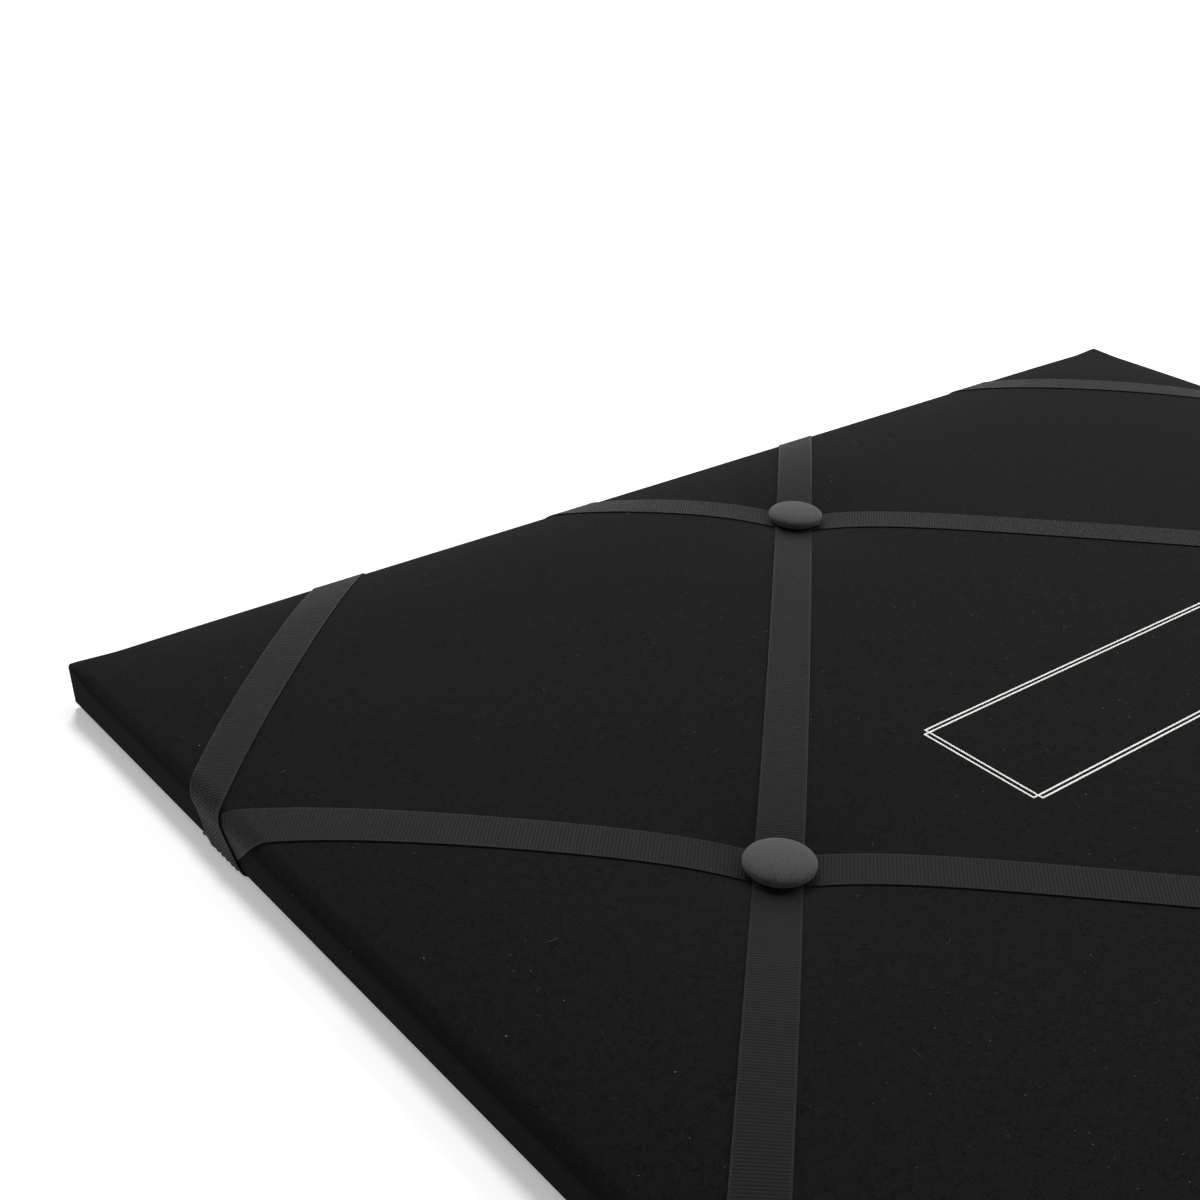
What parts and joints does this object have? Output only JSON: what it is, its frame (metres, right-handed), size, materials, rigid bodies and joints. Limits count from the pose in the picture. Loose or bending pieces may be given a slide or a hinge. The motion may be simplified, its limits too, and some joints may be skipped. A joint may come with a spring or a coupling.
{
  "type": "french memo board",
  "caption": "Padded cloth memo board with crossed grosgrain ribbons under covered buttons, on a lath frame with swinging ring hangers behind.",
  "frame": {"origin": "under the middle of the board, on the surface that its back lies on", "axes": "+X along the board's top edge to the right, +Y to the top edge, +Z out of the padded face"},
  "size_m": [0.4326, 0.3612, 0.0211],
  "materials": {
    "cloth": "matte napped cloth",
    "ribbon": "cross-ribbed grosgrain",
    "button": "matte covered button",
    "foam": "open-cell foam",
    "hardboard": "hardboard",
    "lath": "bare softwood",
    "steel": "zinc plated"
  },
  "bodies": {
    "board": {"rail_top": "lath", "rail_left": "lath", "rail_bottom": "lath", "rail_right": "lath", "face_panel": "hardboard", "foam_pad": "foam", "cover_cloth": "cloth", "ribbon_top_left_long": "ribbon", "ribbon_top_left_short": "ribbon", "ribbon_bottom_right_long": "ribbon", "ribbon_bottom_right_short": "ribbon", "ribbon_top_right_long": "ribbon", "ribbon_top_right_short": "ribbon", "ribbon_bottom_left_long": "ribbon", "ribbon_bottom_left_short": "ribbon", "button_cap_top": "button", "button_back_top": "steel", "button_prong_top": "steel", "button_washer_top": "steel", "button_cap_bottom": "button", "button_back_bottom": "steel", "button_prong_bottom": "steel", "button_washer_bottom": "steel", "button_cap_left": "button", "button_back_left": "steel", "button_prong_left": "steel", "button_washer_left": "steel", "button_cap_right": "button", "button_back_right": "steel", "button_prong_right": "steel", "button_washer_right": "steel", "hanger_strap_left": "steel", "hanger_rivet_left": "steel", "hanger_strap_right": "steel", "hanger_rivet_right": "steel"},
    "left_ring": {"hanger_ring_left": "steel"},
    "right_ring": {"hanger_ring_right": "steel"}
  },
  "joints": [
    {"name": "left_ring_swing", "type": "hinge", "parent": "board", "child": "left_ring", "pos_m": [-0.11, 0.13325, 0.00595], "axis": [-1, 0, 0], "range_deg": [-25, 150]},
    {"name": "right_ring_swing", "type": "hinge", "parent": "board", "child": "right_ring", "pos_m": [0.11, 0.13325, 0.00595], "axis": [-1, 0, 0], "range_deg": [-25, 150]}
  ]
}
